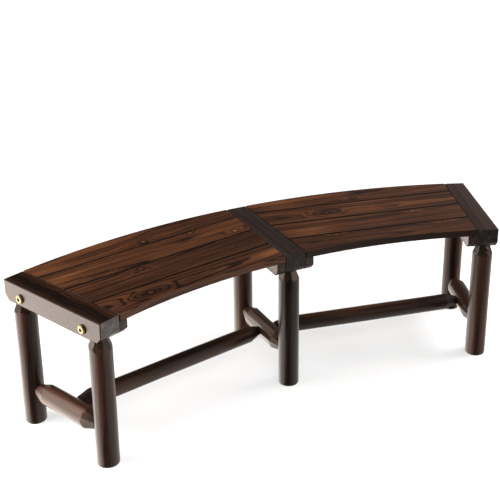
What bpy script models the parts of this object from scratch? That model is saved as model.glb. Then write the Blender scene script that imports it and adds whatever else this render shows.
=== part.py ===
"""Curved wooden garden bench: three crossframes of hewn logs and two seat sections.

The crossframes stand on the spokes of a ring, so benches set end to end make
a full circle. Each seat section is four straight planks on two cleats, bolted
between two crossbeams, with its front and back edges sawn to the ring.

Metres, +Z up, +X along the bench. The origin is on the floor under the middle
of the bench's box. The sitter's front is -Y, towards the centre of the ring.
"""

from math import asin, cos, pi, radians, sin, tan

import bmesh
import bpy

# Ring
SEAT_HEIGHT = 0.430
RING_RADIUS = 1.7075
SPOKE_ANGLE = radians(22.5)

# Crossbeams
BEAM_WIDTH = 0.063
BEAM_HEIGHT = 0.060
BEAM_LENGTH = 0.384
BEAM_CHAMFER = 0.016
BEAM_EDGE = 0.0028

# Legs
LEG_RADIUS = 0.0303
LEG_INSET = 0.0415
LEG_TAPER = 0.036
LEG_TENON_RADIUS = 0.016
LEG_TENON_LENGTH = 0.040
FOOT_CHAMFER = 0.0025

# Rungs, from leg to leg
RUNG_RADIUS = 0.0292
RUNG_HEIGHT = 0.104
RUNG_TAPER = 0.045
RUNG_TENON_RADIUS = 0.014
RUNG_TENON_LENGTH = 0.030
RUNG_FLAT_DEPTH = 0.0016

# Stretchers, from rung to rung
STRETCHER_RADIUS = 0.0248
STRETCHER_TAPER = 0.040
STRETCHER_TENON_RADIUS = 0.013
STRETCHER_TENON_LENGTH = 0.022

# Seat boards
BOARD_THICKNESS = 0.020
FRONT_BOARD_WAIST = 0.0755
BACK_BOARD_CROWN = 0.0935
PLANK_GAP = 0.003
BOARD_END_GAP = 0.0015
BOARD_EDGE = 0.0016

# Cleats under the board ends
CLEAT_WIDTH = 0.026
CLEAT_SETBACK = 0.002
CLEAT_CHAMFER = 0.014
CLEAT_EDGE = 0.0015

# Bolts, washers and nuts
BOLT_RADIUS = 0.004
BOLT_TO_LEG = 0.0265
BOLT_DROP = 0.0375
BOLT_HEAD_RADIUS = 0.0125
BOLT_HEAD_HEIGHT = 0.0068
BOLT_RIM = 0.0030
BOLT_CROWN_POWER = 0.55
BOLT_PROUD = 0.004
BOLT_NOSE = 0.001
HEX_KEY_FLATS = 0.008
HEX_KEY_DEPTH = 0.0044
WASHER_RADIUS = 0.012
WASHER_THICKNESS = 0.002
NUT_FLATS = 0.013
NUT_HEIGHT = 0.0065

# Fits
SEAT_CLEARANCE = 0.0003
BORE_CLEARANCE = 0.0003
SOCKET_DEPTH_CLEARANCE = 0.0015
TIP_LIP = 0.0009
TENON_NOSE = 0.0015

# Roundness
LOG_SIDES = 28
TENON_SIDES = 20
BOLT_SIDES = 14
HEAD_SIDES = 20
NUT_ROUNDING_SIDES = 12
ARC_STEPS = 14
DOME_STEPS = 4

# Sides and their spokes of the ring
SIDES = {"left": -1, "middle": 0, "right": 1}
ENDS = {"front": -1, "back": 1}

# How many flats the drawknife left on each kind of log end
LEG_FLATS = 7
RUNG_FLATS = 9
STRETCHER_FLATS = 8

# How far these flats are turned round each log, as a share of one flat:
# on the middle log, more by side, and more by end
LEG_TURN = (0.25, 0.37, 0.18)
RUNG_TURN = (0.5, 0.3, 0.0)
STRETCHER_TURN = (0.5, 0.2, 0.0)

# Reach of a cutter past the face that it starts from
CUT_MARGIN = 0.004
DRILL_MARGIN = 0.010

# Limits that clean up and round the meshes
MERGE_DISTANCE = 0.00001
STRAIGHT_ANGLE = radians(0.1)
EDGE_ANGLE = radians(30)

# Places and widths that follow from the sizes above
BEAM_BOTTOM = SEAT_HEIGHT - BEAM_HEIGHT
LEG_SPACING = BEAM_LENGTH - 2 * LEG_INSET
BOLT_SPACING = LEG_SPACING - 2 * BOLT_TO_LEG
BOLT_LEVEL = SEAT_HEIGHT - BOLT_DROP
PLANK_JOINTS = 3
PLANK_WIDTH = (BEAM_LENGTH - FRONT_BOARD_WAIST - BACK_BOARD_CROWN - PLANK_JOINTS * PLANK_GAP) / 2
BOARD_FACE = BEAM_WIDTH / 2 + BOARD_END_GAP
HALF_SECTION = SPOKE_ANGLE / 2
INNER_RADIUS = RING_RADIUS - BEAM_LENGTH / 2
OUTER_RADIUS = RING_RADIUS + BEAM_LENGTH / 2
CLEAT_OFFSET = BEAM_WIDTH / 2 + SEAT_CLEARANCE + CLEAT_WIDTH / 2
CLEAT_FACE = CLEAT_OFFSET + CLEAT_WIDTH / 2

# The box of the whole bench runs from the rounded front corner of an end beam
# to the back of the middle beam; the origin lies halfway.
CORNER_ROUNDING = BEAM_EDGE * (cos(SPOKE_ANGLE) + sin(SPOKE_ANGLE) - 1)
FRONT_CORNER = (INNER_RADIUS * cos(SPOKE_ANGLE) - BEAM_WIDTH / 2 * sin(SPOKE_ANGLE)
                + CORNER_ROUNDING)
RING_CENTRE_Y = -(FRONT_CORNER + OUTER_RADIUS) / 2

WOOD_BOARDS = ("stained_boards", (0.088, 0.030, 0.014), 0.42, 0.0)
WOOD_BEAMS = ("stained_beams", (0.052, 0.021, 0.015), 0.40, 0.0)
WOOD_LOGS = ("stained_logs", (0.050, 0.020, 0.014), 0.38, 0.0)
BRASS = ("brass_bolts", (0.62, 0.42, 0.14), 0.30, 1.0)
STEEL = ("zinc_plated_steel", (0.52, 0.53, 0.55), 0.38, 1.0)


def clear_scene():
    for item in list(bpy.data.objects):
        bpy.data.objects.remove(item, do_unlink=True)


def new_collection(name, hidden=False):
    collection = bpy.data.collections.new(name)
    bpy.context.scene.collection.children.link(collection)
    collection.hide_render = hidden
    return collection


def material(spec):
    name, colour, roughness, metallic = spec
    found = bpy.data.materials.get(name)
    if found:
        return found
    made = bpy.data.materials.new(name)
    made.use_nodes = True
    made.diffuse_color = (*colour, 1.0)
    shader = made.node_tree.nodes["Principled BSDF"]
    shader.inputs["Base Color"].default_value = (*colour, 1.0)
    shader.inputs["Roughness"].default_value = roughness
    shader.inputs["Metallic"].default_value = metallic
    return made


def place(item, parent, location=(0, 0, 0), rotation=(0, 0, 0)):
    item.parent = parent
    item.location = location
    item.rotation_euler = rotation
    return item


def make_part(name, mesh, finish, parent, location=(0, 0, 0), rotation=(0, 0, 0)):
    mesh.materials.clear()
    mesh.materials.append(material(finish))
    item = bpy.data.objects.new(name, mesh)
    PARTS.objects.link(item)
    return place(item, parent, location, rotation)


def make_cutter(name, mesh, parent, location=(0, 0, 0), rotation=(0, 0, 0)):
    item = bpy.data.objects.new(name, mesh)
    CUTTERS.objects.link(item)
    item.hide_render = True
    item.display_type = "WIRE"
    return place(item, parent, location, rotation)


def boolean(item, tool, operation):
    modifier = item.modifiers.new(f"{operation.title()} {tool.name}", "BOOLEAN")
    modifier.operation = operation
    modifier.solver = "EXACT"
    modifier.object = tool


def around(radius, sides):
    """Corner radius of a regular outline whose flats stand at the given radius."""
    return radius / cos(pi / sides)


def profile_mesh(name, points, closed=False):
    mesh = bpy.data.meshes.new(name)
    edges = [(i, i + 1) for i in range(len(points) - 1)]
    if closed:
        edges.append((len(points) - 1, 0))
    mesh.from_pydata([(x, 0.0, z) for x, z in points], edges, [])
    return mesh


def turn(item, sides, smooth=True):
    """Turn the item's profile round its own Z axis."""
    screw = item.modifiers.new("Turn", "SCREW")
    screw.axis = "Z"
    screw.angle = 2 * pi
    screw.steps = sides
    screw.render_steps = sides
    screw.use_merge_vertices = True
    screw.merge_threshold = MERGE_DISTANCE
    screw.use_smooth_shade = smooth
    return item


def rod_profile(radius, low, high, low_chamfer=0.0, high_chamfer=0.0):
    points = [(0, high)]
    if high_chamfer:
        points.append((radius - high_chamfer, high))
    points.append((radius, high - high_chamfer))
    points.append((radius, low + low_chamfer))
    if low_chamfer:
        points.append((radius - low_chamfer, low))
    points.append((0, low))
    return points


def bore(item, name, radius, low, high, parent, location, rotation, sides=TENON_SIDES):
    """Drill a round hole whose flats clear the given radius."""
    mesh = profile_mesh(name, rod_profile(around(radius, sides), low, high))
    cutter = make_cutter(name, mesh, parent, location, rotation)
    turn(cutter, sides)
    boolean(item, cutter, "DIFFERENCE")


def hewing_profile(radius, tip, low, high, taper, low_hewn, flat_depth, sides):
    """Outline of what is left of a log after its ends are hewn to a point.

    The flats slope from the log's surface to the tip at each hewn end. Beyond
    the slope they stand clear of the log, or in it by the flat depth.
    """
    body = radius - flat_depth if flat_depth else radius + CUT_MARGIN
    slope = taper * (body - tip) / (radius - tip)
    outline = [(0, high), (tip, high), (body, high - slope)]
    if low_hewn:
        outline += [(body, low + slope), (tip, low), (0, low)]
    else:
        outline += [(body, low - CUT_MARGIN), (0, low - CUT_MARGIN)]
    return [(around(x, sides), z) for x, z in outline]


def hewing_turn(flats, shares, side, way=0):
    """Angle of the flats round a log's axis."""
    middle, by_side, by_end = shares
    return 2 * pi / flats * (middle + by_side * SIDES[side] + by_end * way)


def hewn_log(name, radius, low, high, taper, tenon_radius, tenon_length, flats, parent,
             location, rotation, low_hewn=True, foot_chamfer=0.0, flat_depth=0.0, phase=0.0):
    """A round log along its own Z axis, with hewn ends and turned tenons beyond them."""
    log = make_part(name, profile_mesh(name, rod_profile(radius, low, high, foot_chamfer)),
                    WOOD_LOGS, parent, location, rotation)
    turn(log, LOG_SIDES)

    tip = tenon_radius + TIP_LIP
    outline = hewing_profile(radius, tip, low, high, taper, low_hewn, flat_depth, flats)
    hewing = make_cutter(f"{name}_hewing", profile_mesh(f"{name}_hewing", outline), log,
                         rotation=(0, 0, phase))
    turn(hewing, flats, smooth=False)
    boolean(log, hewing, "INTERSECT")

    core_low = low - tenon_length if low_hewn else high - taper
    outline = rod_profile(tenon_radius, core_low, high + tenon_length, TENON_NOSE, TENON_NOSE)
    tenons = make_cutter(f"{name}_tenons", profile_mesh(f"{name}_tenons", outline), log)
    turn(tenons, TENON_SIDES)
    boolean(log, tenons, "UNION")
    return log


def block_mesh(name, width, length, height, chamfer):
    """A sawn block with its two bottom end corners cut off."""
    bm = bmesh.new()
    bmesh.ops.create_cube(bm, size=1.0)
    bmesh.ops.scale(bm, vec=(width, length, height), verts=bm.verts)
    corners = [edge for edge in bm.edges
               if all(vert.co.z < 0 for vert in edge.verts)
               and edge.verts[0].co.y * edge.verts[1].co.y > 0
               and edge.verts[0].co.x * edge.verts[1].co.x < 0]
    bmesh.ops.bevel(bm, geom=corners, offset=chamfer, segments=1, affect="EDGES")
    mesh = bpy.data.meshes.new(name)
    bm.to_mesh(mesh)
    bm.free()
    return mesh


def ease_edges(item, width, segments=2):
    bevel = item.modifiers.new("Eased edges", "BEVEL")
    bevel.width = width
    bevel.segments = segments
    bevel.limit_method = "ANGLE"
    bevel.angle_limit = EDGE_ANGLE


def spoke_frame(side):
    """Empty on a spoke of the ring, on the floor: X across the beam, Y outwards."""
    angle = SIDES[side] * SPOKE_ANGLE
    empty = bpy.data.objects.new(f"spoke_{side}", None)
    bpy.context.scene.collection.objects.link(empty)
    empty.location = (RING_RADIUS * sin(angle), RING_CENTRE_Y + RING_RADIUS * cos(angle), 0)
    empty.rotation_euler = (0, 0, -angle)
    return empty


def section_frame(side):
    """Empty at the ring's centre, turned to the middle of a seat section."""
    angle = SIDES[side] * HALF_SECTION
    empty = bpy.data.objects.new(f"section_{side}", None)
    bpy.context.scene.collection.objects.link(empty)
    empty.location = (0, RING_CENTRE_Y, 0)
    empty.rotation_euler = (0, 0, -angle)
    return empty


def add_beam(side, spoke):
    name = "middle_beam" if side == "middle" else f"end_beam_{side}"
    mesh = block_mesh(name, BEAM_WIDTH, BEAM_LENGTH, BEAM_HEIGHT, BEAM_CHAMFER)
    beam = make_part(name, mesh, WOOD_BEAMS, spoke, (0, 0, SEAT_HEIGHT - BEAM_HEIGHT / 2))
    ease_edges(beam, BEAM_EDGE)
    for end, way in ENDS.items():
        socket_top = BEAM_BOTTOM + LEG_TENON_LENGTH + SOCKET_DEPTH_CLEARANCE
        bore(beam, f"{name}_{end}_socket", LEG_TENON_RADIUS + BORE_CLEARANCE,
             BEAM_BOTTOM - DRILL_MARGIN, socket_top, spoke,
             (0, way * LEG_SPACING / 2, 0), (0, 0, 0))
        bore(beam, f"{name}_{end}_bolt_hole", BOLT_RADIUS + BORE_CLEARANCE,
             -BEAM_WIDTH, BEAM_WIDTH, spoke,
             (0, way * BOLT_SPACING / 2, BOLT_LEVEL), (0, pi / 2, 0), BOLT_SIDES)


def add_leg(side, end, spoke):
    way = ENDS[end]
    name = f"leg_{side}_{end}"
    phase = hewing_turn(LEG_FLATS, LEG_TURN, side, way)
    leg = hewn_log(name, LEG_RADIUS, 0.0, BEAM_BOTTOM - SEAT_CLEARANCE, LEG_TAPER,
                   LEG_TENON_RADIUS, LEG_TENON_LENGTH, LEG_FLATS, spoke,
                   (0, way * LEG_SPACING / 2, 0), (0, 0, 0),
                   low_hewn=False, foot_chamfer=FOOT_CHAMFER, phase=phase)
    bottom = LEG_RADIUS - RUNG_TENON_LENGTH - SOCKET_DEPTH_CLEARANCE
    bore(leg, f"{name}_mortise", RUNG_TENON_RADIUS + BORE_CLEARANCE,
         bottom, LEG_RADIUS + DRILL_MARGIN, spoke,
         (0, way * LEG_SPACING / 2, RUNG_HEIGHT), (way * pi / 2, 0, 0))


def add_rung(side, spoke):
    name = f"rung_{side}"
    half = LEG_SPACING / 2 - LEG_RADIUS - SEAT_CLEARANCE
    flat_depth = RUNG_FLAT_DEPTH if side == "middle" else 0.0
    phase = hewing_turn(RUNG_FLATS, RUNG_TURN, side)
    rung = hewn_log(name, RUNG_RADIUS, -half, half, RUNG_TAPER, RUNG_TENON_RADIUS,
                    RUNG_TENON_LENGTH, RUNG_FLATS, spoke, (0, 0, RUNG_HEIGHT),
                    (-pi / 2, 0, 0), flat_depth=flat_depth, phase=phase)
    for way in (-1, 1):
        if abs(SIDES[side] + way) > 1:
            continue
        mortise = f"{name}_mortise_{'left' if way < 0 else 'right'}"
        bottom = stretcher_shoulder() - STRETCHER_TENON_LENGTH - SOCKET_DEPTH_CLEARANCE
        bore(rung, mortise, STRETCHER_TENON_RADIUS + BORE_CLEARANCE,
             bottom, 2 * RUNG_RADIUS, spoke, (0, 0, RUNG_HEIGHT),
             (0, way * pi / 2, -way * HALF_SECTION))


def stretcher_shoulder():
    """Distance from a rung's axis to a stretcher's shoulder, along the stretcher.

    The stretcher meets the rung at a slant of half a section, so the far edge
    of its hewn tip reaches the rung first.
    """
    tip = around(STRETCHER_TENON_RADIUS + TIP_LIP, STRETCHER_FLATS)
    reach = RUNG_RADIUS + tip * sin(HALF_SECTION)
    return reach / cos(HALF_SECTION) + SEAT_CLEARANCE


def add_stretcher(side, section):
    half = RING_RADIUS * sin(HALF_SECTION) - stretcher_shoulder()
    phase = hewing_turn(STRETCHER_FLATS, STRETCHER_TURN, side)
    hewn_log(f"stretcher_{side}", STRETCHER_RADIUS, -half, half, STRETCHER_TAPER,
             STRETCHER_TENON_RADIUS, STRETCHER_TENON_LENGTH, STRETCHER_FLATS, section,
             (0, RING_RADIUS * cos(HALF_SECTION), RUNG_HEIGHT), (0, pi / 2, 0), phase=phase)


def board_end(across):
    """Half length of a board at a distance from the ring's centre."""
    return across * tan(HALF_SECTION) - BOARD_FACE / cos(HALF_SECTION)


def ring_edge(radius):
    """Points of a curved board edge, from left to right."""
    reach = HALF_SECTION - asin(BOARD_FACE / radius)
    angles = [reach * (2 * i / ARC_STEPS - 1) for i in range(ARC_STEPS + 1)]
    return [(radius * sin(a), radius * cos(a)) for a in angles]


def straight_edge(across):
    half = board_end(across)
    return [(-half, across), (half, across)]


def outline_solid(name, outline, thickness):
    """Closed mesh of a flat outline, through a filled curve."""
    middle = sum(y for _, y in outline) / len(outline)
    curve = bpy.data.curves.new(f"{name}_outline", "CURVE")
    curve.dimensions = "2D"
    curve.fill_mode = "BOTH"
    curve.extrude = thickness / 2
    spline = curve.splines.new("POLY")
    spline.points.add(len(outline) - 1)
    for point, (x, y) in zip(spline.points, outline):
        point.co = (x, y - middle, 0.0, 1.0)
    spline.use_cyclic_u = True
    guide = bpy.data.objects.new(f"{name}_outline", curve)
    CUTTERS.objects.link(guide)
    graph = bpy.context.evaluated_depsgraph_get()
    mesh = bpy.data.meshes.new_from_object(guide.evaluated_get(graph))
    bpy.data.objects.remove(guide, do_unlink=True)
    bm = bmesh.new()
    bm.from_mesh(mesh)
    bmesh.ops.remove_doubles(bm, verts=bm.verts, dist=MERGE_DISTANCE)
    bmesh.ops.dissolve_limit(bm, angle_limit=STRAIGHT_ANGLE, verts=bm.verts, edges=bm.edges)
    bmesh.ops.recalc_face_normals(bm, faces=bm.faces)
    bm.to_mesh(mesh)
    bm.free()
    mesh.name = name
    return mesh, middle


def add_boards(side, section):
    first = INNER_RADIUS + FRONT_BOARD_WAIST
    joints = [first + i * (PLANK_WIDTH + PLANK_GAP) for i in range(PLANK_JOINTS)]
    backs = [straight_edge(joint) for joint in joints] + [ring_edge(OUTER_RADIUS)]
    fronts = [ring_edge(INNER_RADIUS)] + [straight_edge(joint + PLANK_GAP) for joint in joints]
    places = ["front", "inner_front", "inner_back", "back"]
    for where, front, back in zip(places, fronts, backs):
        name = f"board_{side}_{where}"
        mesh, middle = outline_solid(name, front + back[::-1], BOARD_THICKNESS)
        board = make_part(name, mesh, WOOD_BOARDS, section,
                          (0, middle, SEAT_HEIGHT - BOARD_THICKNESS / 2))
        ease_edges(board, BOARD_EDGE)


def add_cleat(side, place_name, way, spoke):
    """Cleat against a beam, on the side that the way gives along the spoke's X."""
    name = f"cleat_{side}_{place_name}"
    height = BEAM_HEIGHT - BOARD_THICKNESS - SEAT_CLEARANCE
    length = BEAM_LENGTH - 2 * CLEAT_SETBACK
    mesh = block_mesh(name, CLEAT_WIDTH, length, height, CLEAT_CHAMFER)
    cleat = make_part(name, mesh, WOOD_BEAMS, spoke,
                      (way * CLEAT_OFFSET, 0, BEAM_BOTTOM + height / 2))
    ease_edges(cleat, CLEAT_EDGE)
    for end, forward in ENDS.items():
        bore(cleat, f"{name}_{end}_bolt_hole", BOLT_RADIUS + BORE_CLEARANCE,
             -CLEAT_WIDTH, CLEAT_WIDTH, spoke,
             (way * CLEAT_OFFSET, forward * BOLT_SPACING / 2, BOLT_LEVEL),
             (0, pi / 2, 0), BOLT_SIDES)


def bolt_profile(length):
    """Flattened dome on an upright rim, with a plain shank below, from the crown down."""
    dome = BOLT_HEAD_HEIGHT - BOLT_RIM
    points = [(0, BOLT_HEAD_HEIGHT)]
    for i in range(1, DOME_STEPS + 1):
        angle = pi / 2 * i / DOME_STEPS
        reach = sin(angle) ** BOLT_CROWN_POWER
        rise = max(cos(angle), 0.0) ** BOLT_CROWN_POWER
        points.append((BOLT_HEAD_RADIUS * reach, BOLT_RIM + dome * rise))
    points += [(BOLT_HEAD_RADIUS, 0.0), (BOLT_RADIUS, 0.0), (BOLT_RADIUS, BOLT_NOSE - length)]
    points += [(BOLT_RADIUS - BOLT_NOSE, -length), (0, -length)]
    return points


def add_bolt(side, end, spoke):
    """Bolt, washer and nut through a beam and its cleats, along the spoke's X."""
    way = 1 if SIDES[side] > 0 else -1
    inside = -way
    head_face = CLEAT_FACE if side == "middle" else BEAM_WIDTH / 2
    nut_face = CLEAT_FACE
    across = ENDS[end] * BOLT_SPACING / 2
    height = BOLT_LEVEL
    tilt = (0, way * pi / 2, 0)

    washer_at = nut_face + SEAT_CLEARANCE
    nut_at = washer_at + WASHER_THICKNESS + SEAT_CLEARANCE
    length = head_face + SEAT_CLEARANCE + nut_at + NUT_HEIGHT + BOLT_PROUD

    name = f"bolt_{side}_{end}"
    bolt = make_part(name, profile_mesh(name, bolt_profile(length)), BRASS, spoke,
                     (way * (head_face + SEAT_CLEARANCE), across, height), tilt)
    turn(bolt, HEAD_SIDES)
    outline = rod_profile(around(HEX_KEY_FLATS / 2, 6), BOLT_HEAD_HEIGHT - HEX_KEY_DEPTH,
                          BOLT_HEAD_HEIGHT + CUT_MARGIN)
    key_cutter = make_cutter(f"{name}_key", profile_mesh(f"{name}_key", outline), bolt)
    turn(key_cutter, 6, smooth=False)
    boolean(bolt, key_cutter, "DIFFERENCE")

    hole = around(BOLT_RADIUS + BORE_CLEARANCE, HEAD_SIDES)
    ring = [(WASHER_RADIUS, WASHER_THICKNESS), (WASHER_RADIUS, 0.0), (hole, 0.0),
            (hole, WASHER_THICKNESS)]
    name = f"washer_{side}_{end}"
    washer = make_part(name, profile_mesh(name, ring, closed=True), STEEL, spoke,
                       (inside * washer_at, across, height), (0, inside * pi / 2, 0))
    turn(washer, HEAD_SIDES)

    name = f"nut_{side}_{end}"
    corner = around(NUT_FLATS / 2, 6)
    nut = make_part(name, profile_mesh(name, rod_profile(corner, 0.0, NUT_HEIGHT)), STEEL, spoke,
                    (inside * nut_at, across, height), (0, inside * pi / 2, 0))
    turn(nut, 6, smooth=False)
    chamfer = corner - NUT_FLATS / 2
    rounding = rod_profile(corner, 0.0, NUT_HEIGHT, chamfer, chamfer)
    rounding_cutter = make_cutter(f"{name}_rounding", profile_mesh(f"{name}_rounding", rounding), nut)
    turn(rounding_cutter, NUT_ROUNDING_SIDES)
    boolean(nut, rounding_cutter, "INTERSECT")
    bore(nut, f"{name}_bore", BOLT_RADIUS + BORE_CLEARANCE, -DRILL_MARGIN,
         NUT_HEIGHT + DRILL_MARGIN, nut, (0, 0, 0), (0, 0, 0), BOLT_SIDES)


clear_scene()
PARTS = new_collection("curved_garden_bench")
CUTTERS = new_collection("cutters", hidden=True)

for side in SIDES:
    spoke = spoke_frame(side)
    add_beam(side, spoke)
    add_rung(side, spoke)
    for end in ENDS:
        add_leg(side, end, spoke)
        add_bolt(side, end, spoke)
    if side == "left":
        add_cleat("left", "outer", 1, spoke)
    elif side == "middle":
        add_cleat("left", "inner", -1, spoke)
        add_cleat("right", "inner", 1, spoke)
    else:
        add_cleat("right", "outer", -1, spoke)

for side in ("left", "right"):
    section = section_frame(side)
    add_stretcher(side, section)
    add_boards(side, section)
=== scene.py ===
"""Looks of the curved garden bench: stained boards and beams on hewn round logs.

Every piece takes the place and size of the solid that it stands for. Metres,
+Z up, +X along the bench, the sitter's front towards -Y.
"""

from math import asin, cos, pi, radians, sin, tan

import bmesh
import bpy
import numpy as np
from mathutils import Euler, Matrix, Vector


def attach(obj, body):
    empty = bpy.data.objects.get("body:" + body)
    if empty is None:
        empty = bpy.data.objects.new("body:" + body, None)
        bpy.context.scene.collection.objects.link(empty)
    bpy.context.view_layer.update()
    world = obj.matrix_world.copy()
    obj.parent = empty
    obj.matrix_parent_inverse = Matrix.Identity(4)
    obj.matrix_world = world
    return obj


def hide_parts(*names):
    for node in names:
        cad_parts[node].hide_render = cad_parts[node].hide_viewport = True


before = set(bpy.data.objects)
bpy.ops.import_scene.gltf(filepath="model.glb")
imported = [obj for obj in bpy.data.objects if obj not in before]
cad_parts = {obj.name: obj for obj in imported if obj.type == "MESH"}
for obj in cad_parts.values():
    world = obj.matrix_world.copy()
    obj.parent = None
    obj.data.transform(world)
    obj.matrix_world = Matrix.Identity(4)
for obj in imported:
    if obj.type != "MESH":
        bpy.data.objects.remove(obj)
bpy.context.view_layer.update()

# ------------ sizes

SEAT_HEIGHT = 0.43
RING_RADIUS = 1.7075
SPOKE_ANGLE = radians(22.5)
HALF_SECTION = SPOKE_ANGLE / 2

BEAM_WIDTH = 0.063
BEAM_HEIGHT = 0.06
BEAM_LENGTH = 0.384
BEAM_CHAMFER = 0.016
BEAM_EDGE = 0.0028

LEG_RADIUS = 0.0303
LEG_INSET = 0.0415
LEG_TAPER = 0.036
LEG_TENON_RADIUS = 0.016
LEG_TENON_LENGTH = 0.04
FOOT_CHAMFER = 0.0025

RUNG_RADIUS = 0.0292
RUNG_HEIGHT = 0.104
RUNG_TAPER = 0.045
RUNG_TENON_RADIUS = 0.014
RUNG_TENON_LENGTH = 0.03
RUNG_FLAT_DEPTH = 0.0016

STRETCHER_RADIUS = 0.0248
STRETCHER_TAPER = 0.04
STRETCHER_TENON_RADIUS = 0.013
STRETCHER_TENON_LENGTH = 0.022

BOARD_THICKNESS = 0.02
FRONT_BOARD_WAIST = 0.0755
BACK_BOARD_CROWN = 0.0935
PLANK_GAP = 0.003
PLANK_JOINTS = 3
BOARD_END_GAP = 0.0015
BOARD_EDGE = 0.0016

CLEAT_WIDTH = 0.026
CLEAT_SETBACK = 0.002
CLEAT_CHAMFER = 0.014
CLEAT_EDGE = 0.0015

BOLT_RADIUS = 0.004
BOLT_TO_LEG = 0.0265
BOLT_DROP = 0.0375
BOLT_HEAD_RADIUS = 0.0125
BOLT_HEAD_HEIGHT = 0.0068
BOLT_RIM = 0.003
BOLT_PROUD = 0.004
BOLT_NOSE = 0.001
DOME_PULL = 0.62
THREAD_PITCH = 0.00125
THREAD_DEPTH = 0.0004
THREAD_LENGTH = 0.018
HEX_KEY_FLATS = 0.008
HEX_KEY_DEPTH = 0.0044
WASHER_RADIUS = 0.012
WASHER_THICKNESS = 0.002
WASHER_EDGE = 0.0003
NUT_FLATS = 0.013
NUT_HEIGHT = 0.0065

SCREW_HEAD_RADIUS = 0.0042
SCREW_HEAD_DEPTH = 0.003
SCREW_RADIUS = 0.002
SCREW_LENGTH = 0.05
SCREW_RECESS = 0.0011
SCREW_RIM = 0.0004

SEAT_CLEARANCE = 0.0003
BORE_CLEARANCE = 0.0003
SOCKET_DEPTH_CLEARANCE = 0.0015
TIP_LIP = 0.0009
TENON_NOSE = 0.0015

LEG_FLATS = 7
RUNG_FLATS = 9
STRETCHER_FLATS = 8
LEG_TURN = (0.25, 0.37, 0.18)
RUNG_TURN = (0.5, 0.3, 0.0)
STRETCHER_TURN = (0.5, 0.2, 0.0)

SIDES = {"left": -1, "middle": 0, "right": 1}
ENDS = {"front": -1, "back": 1}

BEAM_BOTTOM = SEAT_HEIGHT - BEAM_HEIGHT
LEG_SPACING = BEAM_LENGTH - 2 * LEG_INSET
BOLT_SPACING = LEG_SPACING - 2 * BOLT_TO_LEG
BOLT_LEVEL = SEAT_HEIGHT - BOLT_DROP
PLANK_WIDTH = (BEAM_LENGTH - FRONT_BOARD_WAIST - BACK_BOARD_CROWN
               - PLANK_JOINTS * PLANK_GAP) / 2
BOARD_FACE = BEAM_WIDTH / 2 + BOARD_END_GAP
INNER_RADIUS = RING_RADIUS - BEAM_LENGTH / 2
OUTER_RADIUS = RING_RADIUS + BEAM_LENGTH / 2
# A round edge of this radius reaches no further at the bench's corners than a flat one.
BEAM_ROUNDING = BEAM_EDGE * sin(SPOKE_ANGLE) / (cos(SPOKE_ANGLE) + sin(SPOKE_ANGLE) - 1)
CLEAT_OFFSET = BEAM_WIDTH / 2 + SEAT_CLEARANCE + CLEAT_WIDTH / 2
CLEAT_FACE = CLEAT_OFFSET + CLEAT_WIDTH / 2
CORNER_ROUNDING = BEAM_EDGE * (cos(SPOKE_ANGLE) + sin(SPOKE_ANGLE) - 1)
FRONT_CORNER = (INNER_RADIUS * cos(SPOKE_ANGLE) - BEAM_WIDTH / 2 * sin(SPOKE_ANGLE)
                + CORNER_ROUNDING)
RING_CENTRE_Y = -(FRONT_CORNER + OUTER_RADIUS) / 2

# Fineness of the meshes
LOG_SIDES = 144
TENON_SIDES = 40
TIP_STEPS = 46
SHAFT_STEPS = 40
STANDING_STEPS = 56
ARC_STEPS = 56
HEAD_SIDES = 48
SCREW_SIDES = 40

# Angles in degrees above which an edge is sharp
SHARP = 30
LOG_SHARP = 38
NUT_SHARP = 22

DRILL_MARGIN = 0.01
MERGE_DISTANCE = 0.00001
# Corner radius of a hexagon that is one wide across its flats
HEXAGON = 1 / 3 ** 0.5

# ------------ places


def spoke_place(side):
    """Frame on a spoke of the ring, on the floor: X across the beam, Y outwards."""
    angle = SIDES[side] * SPOKE_ANGLE
    at = (RING_RADIUS * sin(angle), RING_CENTRE_Y + RING_RADIUS * cos(angle), 0)
    return Matrix.Translation(at) @ Matrix.Rotation(-angle, 4, "Z")


def section_place(side):
    """Frame at the ring's centre, turned to the middle of a seat section."""
    angle = SIDES[side] * HALF_SECTION
    return Matrix.Translation((0, RING_CENTRE_Y, 0)) @ Matrix.Rotation(-angle, 4, "Z")


def at(x, y, z, rotation=(0, 0, 0)):
    return Matrix.Translation((x, y, z)) @ Euler(rotation).to_matrix().to_4x4()


GRAIN_ALONG_Y = Matrix.Rotation(pi / 2, 4, "Z")
GRAIN_ALONG_Z = Matrix(((0, 1, 0, 0), (0, 0, 1, 0), (1, 0, 0, 0), (0, 0, 0, 1)))

# ------------ node helper


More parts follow.
